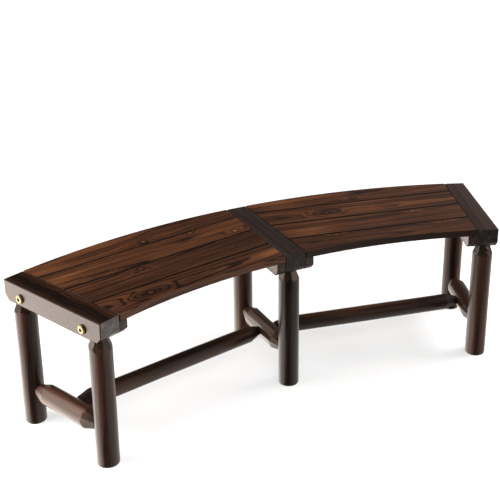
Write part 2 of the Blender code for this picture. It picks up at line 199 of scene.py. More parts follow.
class Recipe:
    """Puts nodes into one finish or one shape, and joins them."""

    def __init__(self, tree):
        self.tree = tree

    def node(self, kind, inputs=None, **settings):
        made = self.tree.nodes.new(kind)
        for name, value in settings.items():
            setattr(made, name, value)
        self.fill(made.inputs, inputs or {})
        return made

    def out(self, kind, inputs=None, **settings):
        return self.node(kind, inputs, **settings).outputs[0]

    def form(self, kind, inputs=None, **settings):
        return self.out("GeometryNode" + kind, inputs, **settings)

    def feed(self, entry, value):
        """Set an input to a plain value, or join one result or a list of them to it."""
        if isinstance(value, list):
            for item in value:
                self.tree.links.new(item, entry)
        elif isinstance(value, bpy.types.NodeSocket):
            self.tree.links.new(value, entry)
        else:
            entry.default_value = value

    def fill(self, entries, values):
        for key, value in values.items():
            self.feed(entries[key], value)

    def calc(self, operation, *values, clamp=False):
        return self.out("ShaderNodeMath", dict(enumerate(values)), operation=operation,
                        use_clamp=clamp)

    def add(self, *values):
        total = values[0]
        for value in values[1:]:
            total = self.calc("ADD", total, value)
        return total

    def less(self, a, b):
        return self.calc("SUBTRACT", a, b)

    def times(self, a, b):
        return self.calc("MULTIPLY", a, b)

    def plus(self, base, value, share, clamp=False):
        """The base with a share of the value on top."""
        return self.calc("MULTIPLY_ADD", value, share, base, clamp=clamp)

    def vary(self, base, noise, share, clamp=False):
        """The base moved up and down by noise that runs from 0 to 1."""
        return self.plus(base, self.less(noise, 0.5), share, clamp)

    def vector(self, operation, *values, out=0):
        made = self.node("ShaderNodeVectorMath", dict(enumerate(values)), operation=operation)
        return made.outputs[out]

    def xyz(self, x, y, z):
        return self.out("ShaderNodeCombineXYZ", {0: x, 1: y, 2: z})

    def split(self, vector):
        return self.node("ShaderNodeSeparateXYZ", {0: vector}).outputs

    def ease(self, value, low, high, start=0.0, end=1.0):
        return self.out("ShaderNodeMapRange", {0: value, 1: low, 2: high, 3: start, 4: end},
                        interpolation_type="SMOOTHSTEP")

    def fade(self, value, low, high):
        return self.ease(value, low, high, 1.0, 0.0)

    def noise(self, place, reach, detail=2.0, roughness=0.5):
        """Noise from 0 to 1 whose patches have about the given reach along each axis."""
        if isinstance(reach, tuple):
            place = self.vector("DIVIDE", place, reach)
            reach = 1.0
        return self.out("ShaderNodeTexNoise", {"Vector": place, "Scale": 1 / reach,
                                               "Detail": detail, "Roughness": roughness})

    def line_noise(self, value, detail=0.0):
        return self.out("ShaderNodeTexNoise", {"W": value, "Scale": 1.0, "Detail": detail},
                        noise_dimensions="1D")

    def mix(self, share, a, b):
        return self.node("ShaderNodeMix", {0: share, 6: a, 7: b}, data_type="RGBA").outputs[2]

    def ramp(self, value, stops):
        made = self.node("ShaderNodeValToRGB", {0: value})
        elements = made.color_ramp.elements
        while len(elements) < len(stops):
            elements.new(0.5)
        for element, (where, colour) in zip(elements, stops):
            element.position = where
            element.color = (*colour, 1.0)
        return made.outputs[0]

    def bump(self, height, distance, strength):
        return self.out("ShaderNodeBump", {"Height": height, "Distance": distance,
                                           "Strength": strength})

    def group(self, tree, **inputs):
        return self.node("ShaderNodeGroup", inputs, node_tree=tree).outputs


SOCKETS = {"vector": "NodeSocketVector", "number": "NodeSocketFloat",
           "shape": "NodeSocketGeometry", "finish": "NodeSocketMaterial"}


def new_tree(name, kind, takes, gives):
    """Empty node group with named sockets: its recipe, start and end."""
    tree = bpy.data.node_groups.new(name, kind)
    for way, sockets in (("INPUT", takes), ("OUTPUT", gives)):
        for label, sort in sockets.items():
            tree.interface.new_socket(label, in_out=way, socket_type=SOCKETS[sort])
    recipe = Recipe(tree)
    return recipe, recipe.node("NodeGroupInput").outputs, recipe.node("NodeGroupOutput").inputs


def new_finish(name):
    """Plain material: itself, its recipe and the inputs of its shader."""
    made = bpy.data.materials.new(name)
    made.use_nodes = True
    return made, Recipe(made.node_tree), made.node_tree.nodes["Principled BSDF"].inputs


# ------------ wood finish


def make_growth():
    """Growth rings round a pith that runs along X, with their lines, bands and fibre."""
    takes = {"Place": "vector", "Pith": "vector", "Taper": "number", "Ring": "number",
             "Wander": "number", "Seed": "number", "Swell": "number"}
    gives = dict.fromkeys(("Late", "Band", "Fibre", "Patch", "Streak"), "number")
    r, take, give = new_tree("wood_growth", "ShaderNodeTree", takes, gives)
    wander, seed = take["Wander"], take["Seed"]
    step = r.out("ShaderNodeVectorMath", {0: (7.3, 3.1, 5.7), "Scale": seed}, operation="SCALE")
    shifted = r.vector("ADD", take["Place"], step)
    slow = r.less(r.noise(shifted, (0.32, 0.085, 0.085)), 0.5)
    quick = r.less(r.noise(shifted, (0.055, 0.012, 0.012)), 0.5)
    x, y, z = r.split(r.vector("SUBTRACT", take["Place"], take["Pith"]))
    across = r.vector("LENGTH", r.xyz(0.0, y, z), out=1)
    reach = r.add(across, r.times(x, take["Taper"]), take["Swell"], r.times(slow, wander),
                  r.times(r.times(quick, wander), 0.16))
    count = r.calc("DIVIDE", reach, take["Ring"])
    count = r.plus(count, r.line_noise(r.plus(seed, count, 0.27)), 2.2)
    part = r.calc("FRACT", count)
    year = r.calc("FLOOR", count)
    strength = r.out("ShaderNodeTexWhiteNoise", {"W": r.add(year, seed)}, noise_dimensions="1D")
    line = r.times(r.ease(part, 0.5, 0.88), r.fade(part, 0.92, 1.0))
    r.fill(give, {"Late": r.times(line, r.plus(0.35, strength, 0.65)),
                  "Band": r.line_noise(r.plus(r.times(seed, 1.7), count, 0.42), 1.0),
                  "Fibre": r.noise(shifted, (0.045, 0.0011, 0.0011), 2.0, 0.6),
                  "Patch": r.noise(shifted, (0.3, 0.034, 0.03)),
                  "Streak": r.noise(shifted, (0.15, 0.0038, 0.0038), 2.0, 0.55)})
    return r.tree


def make_spot():
    """A round or long place on a piece: nearness from 1 at its middle to 0."""
    takes = {"Place": "vector", "At": "vector", "Size": "vector"}
    r, take, give = new_tree("spot", "ShaderNodeTree", takes, {"Near": "number", "Away": "number"})
    local = r.out("ShaderNodeMapping", {"Vector": take["Place"], "Location": take["At"],
                                        "Scale": take["Size"]}, vector_type="TEXTURE")
    away = r.vector("LENGTH", local, out=1)
    r.fill(give, {"Away": away, "Near": r.calc("EXPONENT", r.times(r.times(away, away), -1.0))})
    return r.tree


GROWTH = make_growth()
SPOT = make_spot()

# Depth of a spot that goes right through the piece
THROUGH = 10.0
# Step from one seed to the next in the noises
SEED_STEP = 1.37
KNIFE_CUTS_PER_METRE = 130.0
# Ridges that a coarse saw left: how far they fade out at the sides, and their stain
RIDGE_FADE = 0.003
RIDGE_CHANGE = -0.55
# From the first to the second distance from a beam's corner, its edge turns dull
WORN = (0.0042, 0.0018)
VARNISH_IOR = 1.5
VARNISH_TINT = (1.0, 0.96, 0.92, 1.0)

BOARD_TONES = [(0.0, (0.007, 0.0034, 0.0024)), (0.22, (0.0165, 0.007, 0.0042)),
               (0.45, (0.043, 0.0165, 0.0082)), (0.65, (0.08, 0.029, 0.012)),
               (0.82, (0.125, 0.049, 0.0205)), (1.0, (0.22, 0.11, 0.056))]
BEAM_TONES = [(0.0, (0.005, 0.0024, 0.0016)), (0.25, (0.0135, 0.005, 0.0026)),
              (0.5, (0.032, 0.0108, 0.0048)), (0.72, (0.062, 0.0205, 0.0085)),
              (1.0, (0.12, 0.05, 0.026))]
GREY_TONES = [(0.0, (0.006, 0.0042, 0.0037)), (0.25, (0.015, 0.0092, 0.008)),
              (0.5, (0.031, 0.018, 0.015)), (0.72, (0.056, 0.034, 0.0285)),
              (1.0, (0.115, 0.08, 0.07))]
LOG_TONES = [(0.0, (0.0055, 0.0032, 0.0026)), (0.25, (0.015, 0.0074, 0.0052)),
             (0.5, (0.037, 0.0158, 0.0094)), (0.72, (0.066, 0.026, 0.0145)),
             (1.0, (0.13, 0.062, 0.038))]
SAWN_TONES = [(0.0, (0.0045, 0.0042, 0.004)), (0.45, (0.013, 0.012, 0.0115)),
              (0.75, (0.036, 0.035, 0.0345)), (1.0, (0.105, 0.103, 0.1))]
DARK_SAWN_TONES = [(0.0, (0.004, 0.0032, 0.0028)), (0.45, (0.0125, 0.0098, 0.0084)),
                   (0.75, (0.034, 0.0285, 0.025)), (1.0, (0.105, 0.096, 0.088))]


def wood_finish(name, place, seed, *, pith, tones, tone, ring, taper, wander, contrast, banded,
                patchy, streaky, rough, shine, relief, knots=(), zones=(), sway=0.0, edges=(),
                edge_reach=0.0028, ridges=None, hewn=None, marked=0.16, carved=1.4,
                dull_tip=0.12, tip_change=-0.18, arris=None, sawn=0.4,
                saw_reach=(0.02, 0.0085, 0.0022), end_tones=SAWN_TONES, painted_side_light=0.0):
    """Stained softwood under thin varnish, with X of the place along the grain.

    A knot is ((x, y), core radius, swell length, swell width, swell depth in
    rings); a zone is ((x, y), length, width, change of tone), which may also
    be a painted highlight or painted shade. An edge is the inward direction,
    the distance and the change of tone of a line where stain gathers and the
    shade of a gap is painted; ridges are (start, end, pitch) across the piece;
    hewn is (start, length) of the part at each end that a drawknife has cut;
    arris is the half width and half height at which the edges are worn dull.
    Painted side light is painted light that makes the upright faces lighter or
    darker than the top.
    """
    made, r, skin = new_finish(name)
    seed *= SEED_STEP
    source = r.node("ShaderNodeTexCoord").outputs
    local = r.out("ShaderNodeMapping", {"Vector": source["Object"], "Location": place.translation,
                                        "Rotation": place.to_euler()}, vector_type="TEXTURE")
    along, across, up = r.split(local)

    def spot(where, middle, length, width):
        return r.group(SPOT, Place=where, At=(*middle, 0.0), Size=(length, width, THROUGH))

    swell, core, halo = 0.0, 0.0, 0.0
    for middle, radius, length, width, rings in knots:
        wide = spot(local, middle, length, width)
        tight = spot(local, middle, radius * 1.25, radius)
        swell = r.add(swell, r.times(wide["Near"], rings * ring))
        core = r.add(core, r.fade(tight["Away"], 0.75, 1.05))
        halo = r.add(halo, r.times(r.ease(tight["Away"], 0.7, 1.1),
                                   r.fade(tight["Away"], 1.2, 2.6)))
    growth = r.group(GROWTH, Place=local, Pith=(0.0, *pith), Taper=taper, Ring=ring,
                     Wander=wander, Seed=seed, Swell=swell)
    late, fibre = growth["Late"], growth["Fibre"]

    level = r.vary(tone, growth["Band"], 0.8 * banded)
    level = r.vary(level, growth["Patch"], 0.9 * patchy)
    level = r.plus(level, late, -0.36 * contrast)
    level = r.vary(level, fibre, 0.34)
    level = r.vary(level, growth["Streak"], streaky)
    where = local
    if sway:
        drift = r.less(r.line_noise(r.plus(seed, along, 14.0), 1.0), 0.5)
        where = r.vector("ADD", local, r.xyz(0.0, r.times(drift, sway), 0.0))
    for middle, length, width, change in zones:
        level = r.plus(level, spot(where, middle, length, width)["Near"], change)
    # Stain that gathers at a board's edges, together with painted shade in the gaps between boards
    # and at their ends.
    for inward, distance, change in edges:
        inside = r.less(r.vector("DOT_PRODUCT", local, (*inward, 0.0), out=1), distance)
        level = r.plus(level, r.fade(inside, 0.0006, edge_reach), change)
    if ridges:
        start, end, pitch = ridges
        bend = r.line_noise(r.plus(seed, along, 9.0))
        wave = r.calc("SINE", r.plus(r.times(across, 2 * pi / pitch), bend, 2.5))
        inside = r.times(r.ease(across, start, start + RIDGE_FADE),
                         r.fade(across, end - RIDGE_FADE, end))
        ribs = r.times(r.ease(wave, -0.3, 0.9), inside)
        level = r.plus(level, ribs, RIDGE_CHANGE)
    if knots:
        level = r.plus(r.plus(level, core, 0.2), halo, -0.26)
    # Painted light: upright faces are made lighter or darker than the top, as they look under the
    # studio's light.
    if painted_side_light:
        upright = r.calc("ABSOLUTE", r.split(source["Normal"])[2])
        level = r.plus(level, r.fade(upright, 0.3, 0.8), painted_side_light)
    if hewn:
        start, length = hewn
        tip = r.ease(r.calc("ABSOLUTE", along), start, start + length * 0.35)
        drift = r.noise(local, (0.01, 0.014, 0.014))
        cuts = r.calc("FRACT", r.plus(r.times(along, KNIFE_CUTS_PER_METRE), drift, 2.6))
        marks = r.times(tip, r.ease(cuts, 0.05, 0.95))
        level = r.plus(r.plus(level, tip, tip_change), r.less(marks, 0.4), marked)

    grain = place.to_3x3() @ Vector((1, 0, 0))
    facing = r.calc("ABSOLUTE", r.vector("DOT_PRODUCT", source["Normal"], grain, out=1))
    end = r.ease(facing, 0.7, 0.92)
    colour = r.ramp(r.calc("ADD", level, 0.0, clamp=True), tones)
    saw = r.noise(local, saw_reach, 4.0, 0.7)
    dust = r.noise(local, (0.02, 0.022, 0.014))
    end_level = r.vary(r.vary(sawn, dust, 1.1), saw, 2.2, clamp=True)
    r.feed(skin["Base Color"], r.mix(end, colour, r.ramp(end_level, end_tones)))

    gloss = r.vary(rough, r.noise(local, (0.06, 0.02, 0.02)), 0.2)
    gloss = r.plus(gloss, late, -0.06)
    if hewn:
        gloss = r.plus(gloss, tip, dull_tip)
    if arris:
        worn = [r.ease(r.calc("ABSOLUTE", reach), *(half - inset for inset in WORN))
                for reach, half in zip((across, up), arris)]
        gloss = r.plus(gloss, r.times(*worn), 0.55, clamp=True)
    r.fill(skin, {"Roughness": gloss, "IOR": VARNISH_IOR, "Specular IOR Level": shine,
                  "Specular Tint": VARNISH_TINT})

    height = r.add(r.times(late, 0.55), r.times(fibre, 0.5), r.times(r.times(saw, end), 1.6))
    if knots:
        height = r.plus(height, core, 0.3)
    if ridges:
        height = r.plus(height, ribs, -0.8)
    if hewn:
        height = r.plus(height, marks, carved)
    r.feed(skin["Normal"], r.bump(height, relief, 0.8))
    return made


def metal_finish(name, colour, dark, rough, scratch, wear, recess=None):
    """Plated metal with fine turning marks, small scratches and dull patches.

    Recess is the radius of a key hole's mouth; inside it, and low on the head
    next to the wood, the colour is darkened as painted shade.
    """
    made, r, skin = new_finish(name)
    place = r.node("ShaderNodeTexCoord").outputs["Object"]
    dull = r.noise(place, 0.004, 3.0, 0.6)
    speck = r.ease(r.noise(place, 0.0009), 0.62, 0.74)
    share = r.plus(r.ease(dull, 0.48, 0.75, 0.0, wear), speck, 0.5, clamp=True)
    # Painted shade: dark inside the key hole and at the foot of the head.
    if recess:
        own = r.node("ShaderNodeAttribute", attribute_name="own_place").outputs["Vector"]
        x, y, z = r.split(own)
        reach = r.vector("LENGTH", r.xyz(x, y, 0.0), out=1)
        share = r.calc("MAXIMUM", share, r.fade(reach, recess, recess + 0.0008))
        share = r.calc("MAXIMUM", share, r.fade(z, 0.0004, 0.0014))
    marks = r.noise(place, (0.0016, 0.0016, 0.00025))
    r.fill(skin, {"Base Color": r.mix(share, (*colour, 1.0), (*dark, 1.0)), "Metallic": 1.0,
                  "Roughness": r.plus(rough, dull, 0.22),
                  "Normal": r.bump(marks, 0.00003, scratch)})
    return made


# ------------ pieces


def linked(name, data):
    """New object in the scene."""
    item = bpy.data.objects.new(name, data)
    bpy.context.scene.collection.objects.link(item)
    return item


def show(name, mesh, nodes=()):
    """Put a finished mesh into the scene as a piece of the bench."""
    mesh.name = name
    piece = linked(name, mesh)
    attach(piece, "root")
    if nodes:
        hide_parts(*nodes)


def show_wood(name, mesh, place, seed, node, looks):
    mesh.materials.clear()
    mesh.materials.append(wood_finish(name, place, seed, **looks))
    show(name, mesh, [node])


def baked(item):
    """Plain mesh of an object with its modifiers; the object itself goes."""
    graph = bpy.context.evaluated_depsgraph_get()
    made = bpy.data.meshes.new_from_object(item.evaluated_get(graph),
                                           preserve_all_data_layers=True, depsgraph=graph)
    bpy.data.objects.remove(item, do_unlink=True)
    return made


def eased(mesh, width, segments):
    """Mesh with its sharp edges rounded."""
    mesh.shade_smooth()
    item = linked("work", mesh)
    bevel = item.modifiers.new("Bevel", "BEVEL")
    bevel.width, bevel.segments = width, segments
    bevel.limit_method, bevel.angle_limit = "ANGLE", radians(SHARP)
    bevel.harden_normals = True
    return baked(item)


def cut_by(mesh, tools):
    """Mesh that the tools have cut; the tools go."""
    item = linked("work", mesh)
    for tool in tools:
        cut = item.modifiers.new("Cut", "BOOLEAN")
        cut.operation, cut.solver, cut.object = "DIFFERENCE", "EXACT", tool
    made = baked(item)
    for tool in tools:
        bpy.data.objects.remove(tool, do_unlink=True)
    return made


def smooth(mesh, limit):
    mesh.shade_smooth()
    mesh.set_sharp_from_angle(angle=radians(limit))


def ring(reach, z, sides):
    """Points round the Z axis at one height; the reach may differ from point to point."""
    turn = 2 * pi * np.arange(sides) / sides
    reach = np.broadcast_to(reach, turn.shape)
    return np.stack([reach * np.cos(turn), reach * np.sin(turn), np.full(sides, z)], 1)


def plain_mesh(name, points, faces=()):
    mesh = bpy.data.meshes.new(name)
    mesh.from_pydata(points, [], faces)
    return mesh


def loft(name, rings):
    """Closed mesh through rings of points, from the low end to the high end."""
    rings = np.asarray(rings)
    steps, sides, _ = rings.shape
    row = np.arange(sides)
    nxt = (row + 1) % sides
    quads = [np.stack([i * sides + row, i * sides + nxt, (i + 1) * sides + nxt,
                       (i + 1) * sides + row], 1) for i in range(steps - 1)]
    faces = np.concatenate(quads).tolist()
    faces.append(row[::-1].tolist())
    faces.append(((steps - 1) * sides + row).tolist())
    return plain_mesh(name, rings.reshape(-1, 3).tolist(), faces)


def cutter(steps, place):
    """Round tool along its own Z axis, through steps of radius and height."""
    mesh = loft("tool", [ring(reach, z, TENON_SIDES) for reach, z in steps])
    mesh.transform(place)
    return linked("tool", mesh)


def drill(radius, low, high, place):
    """Cutter for the clear bore round a rod of this radius."""
    reach = (radius + BORE_CLEARANCE) / cos(pi / TENON_SIDES)
    return cutter([(reach, low), (reach, high)], place)


def screw_drill(place):
    """Cutter for a countersunk screw hole that starts at Z = 0 and goes up."""
    head, shank = SCREW_HEAD_RADIUS + BORE_CLEARANCE, SCREW_RADIUS + BORE_CLEARANCE
    return cutter([(head, -0.002), (head, SCREW_RIM), (shank, SCREW_HEAD_DEPTH + SCREW_RIM),
                   (shank, BEAM_HEIGHT)], place)


# ------------ hewn logs

# Flats that the knife leaves: its chatter, the least lean at which a flat still
# cuts the log, and how far the edges between flats are rounded
CHATTER_DEPTH = 0.0001
CHATTER_RATE = 900
LEAST_LEAN = 0.3
FLAT_BLEND = 0.00014
# Share of the taper's length at each end that is meshed finely
FINE_END = 1.25

LEG = (LEG_RADIUS, LEG_TAPER, LEG_TENON_RADIUS, LEG_TENON_LENGTH, LEG_FLATS, LEG_TURN)
RUNG = (RUNG_RADIUS, RUNG_TAPER, RUNG_TENON_RADIUS, RUNG_TENON_LENGTH, RUNG_FLATS, RUNG_TURN)
STRETCHER = (STRETCHER_RADIUS, STRETCHER_TAPER, STRETCHER_TENON_RADIUS,
             STRETCHER_TENON_LENGTH, STRETCHER_FLATS, STRETCHER_TURN)


def hewn_log(sizes, low, high, seed, side, way=0, standing=False, flat_depth=0.0):
    """A peeled round log along its own Z axis, its ends hewn with a drawknife.

    The knife leaves flats of slightly different slope, a little hollow, with
    rounded edges between them; the log's own surface waves a little inwards.
    A standing log has a foot with its edge taken off instead of the low end.
    """
    radius, taper, tenon_radius, tenon_length, flats, (middle, by_side, by_end) = sizes
    phase = 2 * pi / flats * (middle + by_side * SIDES[side] + by_end * way)
    draw = np.random.default_rng(seed)
    tip = tenon_radius + TIP_LIP
    turn = 2 * pi * np.arange(LOG_SIDES) / LOG_SIDES
    facing = phase + (np.arange(flats) + 0.5) * 2 * pi / flats + draw.normal(0, 0.035, flats)
    long = {end: taper * (1 + draw.uniform(-0.16, 0.02, flats)) for end in (-1, 1)}
    thick = {end: tip + draw.uniform(0.0, 0.0012, flats) for end in (-1, 1)}
    hollow = draw.uniform(0.0001, 0.0005, flats)
    chatter = draw.uniform(0, 2 * pi, flats)
    waves = [(n, draw.uniform(6, 28), draw.uniform(0, 2 * pi), draw.uniform(0.00004, 0.00013))
             for n in (1, 2, 2, 3, 4, 5)]
    knifed = [(1, high)] if standing else [(1, high), (-1, low)]

    def outline(z):
        planes = [radius - sum(size * (1 + np.sin(n * turn + along * z + start))
                               for n, along, start, size in waves)]
        for k in range(flats):
            far = np.inf
            for end, edge in knifed:
                share = (edge - z) * end / long[end][k]
                dip = hollow[k] * sin(pi * min(max(share, 0), 1))
                dip += CHATTER_DEPTH * (1 + sin(z * CHATTER_RATE + chatter[k])) * (0 < share < 1)
                far = min(far, thick[end][k] + (radius - thick[end][k]) * share - dip)
            if flat_depth:
                far = min(far, radius - flat_depth * (1 + 0.25 * sin(z * 31 + chatter[k])))
            lean = np.cos(turn - facing[k])
            planes.append(np.where(lean > LEAST_LEAN, far / np.maximum(lean, LEAST_LEAN), 1.0))
        stack = np.stack(planes)
        least = stack.min(0)
        return least - FLAT_BLEND * np.log(np.exp(-(stack - least) / FLAT_BLEND).sum(0))

    close = FINE_END * taper
    if standing:
        start = low + FOOT_CHAMFER
        foot = outline(start)
        ends = [(foot - FOOT_CHAMFER, low), (foot - FOOT_CHAMFER * 0.35, low + FOOT_CHAMFER * 0.3)]
        levels = [*np.linspace(start, high - close, STANDING_STEPS)]
    else:
        ends = [(tenon_radius - TENON_NOSE, low - tenon_length),
                (tenon_radius, low - tenon_length + TENON_NOSE), (tenon_radius, low)]
        levels = [*np.linspace(low, low + close, TIP_STEPS),
                  *np.linspace(low + close, high - close, SHAFT_STEPS)[1:]]
    levels += [*np.linspace(high - close, high, TIP_STEPS)[1:]]
    steps = ends + [(outline(z), z) for z in levels]
    steps += [(tenon_radius, high), (tenon_radius, high + tenon_length - TENON_NOSE),
              (tenon_radius - TENON_NOSE, high + tenon_length)]
    return loft("log", [ring(reach, z, LOG_SIDES) for reach, z in steps])


def show_log(node, mesh, place, tools, pith, seed, hewn, looks):
    mesh.transform(place)
    if tools:
        mesh = cut_by(mesh, tools)
    smooth(mesh, LOG_SHARP)
    show_wood(f"log_{node}", mesh, place @ GRAIN_ALONG_Z, seed, node,
              {**LOG_LOOKS, "pith": pith, "hewn": hewn, **looks})


def add_leg(side, end, spoke, seed, **looks):
    way = ENDS[end]
    mesh = hewn_log(LEG, 0.0, BEAM_BOTTOM - SEAT_CLEARANCE, seed, side, way, standing=True)
    hole = spoke @ at(0, way * LEG_SPACING / 2, RUNG_HEIGHT, (way * pi / 2, 0, 0))
    tool = drill(RUNG_TENON_RADIUS, LEG_RADIUS - RUNG_TENON_LENGTH - SOCKET_DEPTH_CLEARANCE,
                 LEG_RADIUS + DRILL_MARGIN, hole)
    show_log(f"leg_{side}_{end}", mesh, spoke @ at(0, way * LEG_SPACING / 2, 0), [tool],
             (0.006, -0.004), seed, (BEAM_BOTTOM - LEG_TAPER, LEG_TAPER), looks)


def stretcher_shoulder():
    """Distance from a rung's middle line to the shoulder of a stretcher's tenon."""
    tip = (STRETCHER_TENON_RADIUS + TIP_LIP) / cos(pi / STRETCHER_FLATS)
    reach = RUNG_RADIUS + tip * sin(HALF_SECTION)
    return reach / cos(HALF_SECTION) + SEAT_CLEARANCE


def add_rung(side, spoke, seed, **looks):
    half = LEG_SPACING / 2 - LEG_RADIUS - SEAT_CLEARANCE
    mesh = hewn_log(RUNG, -half, half, seed, side,
                    flat_depth=RUNG_FLAT_DEPTH if side == "middle" else 0.0)
    depth = stretcher_shoulder() - STRETCHER_TENON_LENGTH - SOCKET_DEPTH_CLEARANCE
    tools = [drill(STRETCHER_TENON_RADIUS, depth, 2 * RUNG_RADIUS,
                   spoke @ at(0, 0, RUNG_HEIGHT, (0, way * pi / 2, -way * HALF_SECTION)))
             for way in (-1, 1) if abs(SIDES[side] + way) <= 1]
    show_log(f"rung_{side}", mesh, spoke @ at(0, 0, RUNG_HEIGHT, (-pi / 2, 0, 0)), tools,
             (0.005, 0.006), seed, (half - RUNG_TAPER, RUNG_TAPER), looks)


def add_stretcher(side, section, seed, **looks):
    half = RING_RADIUS * sin(HALF_SECTION) - stretcher_shoulder()
    mesh = hewn_log(STRETCHER, -half, half, seed, side)
    place = section @ at(0, RING_RADIUS * cos(HALF_SECTION), RUNG_HEIGHT, (0, pi / 2, 0))
    show_log(f"stretcher_{side}", mesh, place, [], (-0.004, 0.005), seed,
             (half - STRETCHER_TAPER, STRETCHER_TAPER), looks)


# ------------ sawn timber


def block(width, length, height, chamfer, edge, place, tools):
    """A sawn block with its two bottom end corners cut off and its edges eased."""
    bm = bmesh.new()
    bmesh.ops.create_cube(bm, size=1.0)
    bmesh.ops.scale(bm, vec=(width, length, height), verts=bm.verts)
    corners = [e for e in bm.edges
               if all(v.co.z < 0 for v in e.verts)
               and e.verts[0].co.y * e.verts[1].co.y > 0
               and e.verts[0].co.x * e.verts[1].co.x < 0]
    bmesh.ops.bevel(bm, geom=corners, offset=chamfer, segments=1, affect="EDGES")
    mesh = bpy.data.meshes.new("block")
    bm.to_mesh(mesh)
    bm.free()
    mesh = eased(mesh, edge, 4)
    mesh.transform(place)
    return cut_by(mesh, tools)


def bolt_place(spoke, forward, way, reach):
    """Place on a bolt's line this far from the spoke, with Z along the way outwards."""
    return spoke @ at(way * reach, forward * BOLT_SPACING / 2, BOLT_LEVEL, (0, way * pi / 2, 0))


def add_beam(side, seed, **looks):
    spoke = spokes[side]
    tools = []
    for way in ENDS.values():
        tools += [drill(LEG_TENON_RADIUS, BEAM_BOTTOM - DRILL_MARGIN,
                        BEAM_BOTTOM + LEG_TENON_LENGTH + SOCKET_DEPTH_CLEARANCE,
                        spoke @ at(0, way * LEG_SPACING / 2, 0)),
                  drill(BOLT_RADIUS, -BEAM_WIDTH, BEAM_WIDTH, bolt_place(spoke, way, 1, 0))]
    place = spoke @ at(0, 0, SEAT_HEIGHT - BEAM_HEIGHT / 2)
    mesh = block(BEAM_WIDTH, BEAM_LENGTH, BEAM_HEIGHT, BEAM_CHAMFER, BEAM_ROUNDING, place, tools)
    show_wood(f"crossbeam_{side}", mesh, place @ GRAIN_ALONG_Y, seed,
              "middle_beam" if side == "middle" else f"end_beam_{side}",
              {**BEAM_LOOKS, "arris": (BEAM_WIDTH / 2, BEAM_HEIGHT / 2), **looks})


def screw_rows():
    """Distances along a spoke at which the boards are screwed to the cleat beside a beam."""
    # The cleat's own line, seen from the ring's centre at half a section's slant.
    return [((front(1.0)[1] + back(1.0)[1]) / 2 - CLEAT_OFFSET * sin(HALF_SECTION))
            / cos(HALF_SECTION) - RING_RADIUS for _, front, back in board_edges()]


def add_cleat(side, label, way, spoke, seed, **looks):
    tools = [drill(BOLT_RADIUS, -CLEAT_WIDTH, CLEAT_WIDTH,
                   bolt_place(spoke, forward, 1, way * CLEAT_OFFSET))
             for forward in ENDS.values()]
    for row in screw_rows():
        place = spoke @ at(way * CLEAT_OFFSET, row, BEAM_BOTTOM)
        tools.append(screw_drill(place))
        screw_places.append(place)
    height = BEAM_HEIGHT - BOARD_THICKNESS - SEAT_CLEARANCE
    place = spoke @ at(way * CLEAT_OFFSET, 0, BEAM_BOTTOM + height / 2)
    mesh = block(CLEAT_WIDTH, BEAM_LENGTH - 2 * CLEAT_SETBACK, height, CLEAT_CHAMFER,
                 CLEAT_EDGE, place, tools)
    show_wood(f"cleat_batten_{side}_{label}", mesh, place @ GRAIN_ALONG_Y, seed,
              f"cleat_{side}_{label}", {**CLEAT_LOOKS, **looks})


# ------------ seat boards


def arc_edge(radius):
    reach = HALF_SECTION - asin(BOARD_FACE / radius)
    return lambda u: (radius * sin(u * reach), radius * cos(u * reach))


def straight_edge(across):
    half = across * tan(HALF_SECTION) - BOARD_FACE / cos(HALF_SECTION)
    return lambda u: (u * half, across)


INNER_ARC = arc_edge(INNER_RADIUS)
OUTER_ARC = arc_edge(OUTER_RADIUS)


def board_edges():
    """Name, front edge and back edge of each board of a section, front to back."""
    first = INNER_RADIUS + FRONT_BOARD_WAIST
    joints = [first + i * (PLANK_WIDTH + PLANK_GAP) for i in range(PLANK_JOINTS)]
    fronts = [INNER_ARC] + [straight_edge(joint + PLANK_GAP) for joint in joints]
    backs = [straight_edge(joint) for joint in joints] + [OUTER_ARC]
    return list(zip(("front", "inner_front", "inner_back", "back"), fronts, backs))


def add_board(side, where, front, back, seed, **looks):
    steps = np.linspace(-1, 1, ARC_STEPS + 1)
    line = []
    for edge, order in ((front, steps), (back, steps[::-1])):
        curved = edge in (INNER_ARC, OUTER_ARC)
        line += [edge(u) for u in (order if curved else order[[0, -1]])]
    outline = np.array(line)
    middle = (front(0.0)[1] + back(0.0)[1]) / 2
    outline[:, 1] -= middle
    half = BOARD_THICKNESS / 2
    mesh = loft("board", [np.column_stack([outline, np.full(len(outline), z)])
                          for z in (-half, half)])
    mesh = eased(mesh, BOARD_EDGE, 3)
    place = sections[side] @ at(0, middle, SEAT_HEIGHT - half)
    mesh.transform(place)
    joint = BOARD_FACE - middle * sin(HALF_SECTION)
    edges = [((way * cos(HALF_SECTION), sin(HALF_SECTION)), joint, END_STAIN_AND_SHADE) for way in (-1, 1)]
    if front is not INNER_ARC:
        edges.append(((0.0, 1.0), outline[:, 1].min(), JOINT_STAIN_AND_SHADE))
    if back is not OUTER_ARC:
        edges.append(((0.0, -1.0), -outline[:, 1].max(), JOINT_STAIN_AND_SHADE))
    show_wood(f"seat_board_{side}_{where}", mesh, place, seed,
              f"board_{side}_{where}",
              {**BOARD_LOOKS, "edges": edges, "edge_reach": EDGE_REACH[side], **looks})


# ------------ fasteners

# Radius of the circle that a profile runs round; Blender can't turn one of no width.
SPINDLE = 0.001


def profile_point(r, radius, height):
    return r.xyz(r.less(radius, SPINDLE), r.times(height, -1.0), 0.0)


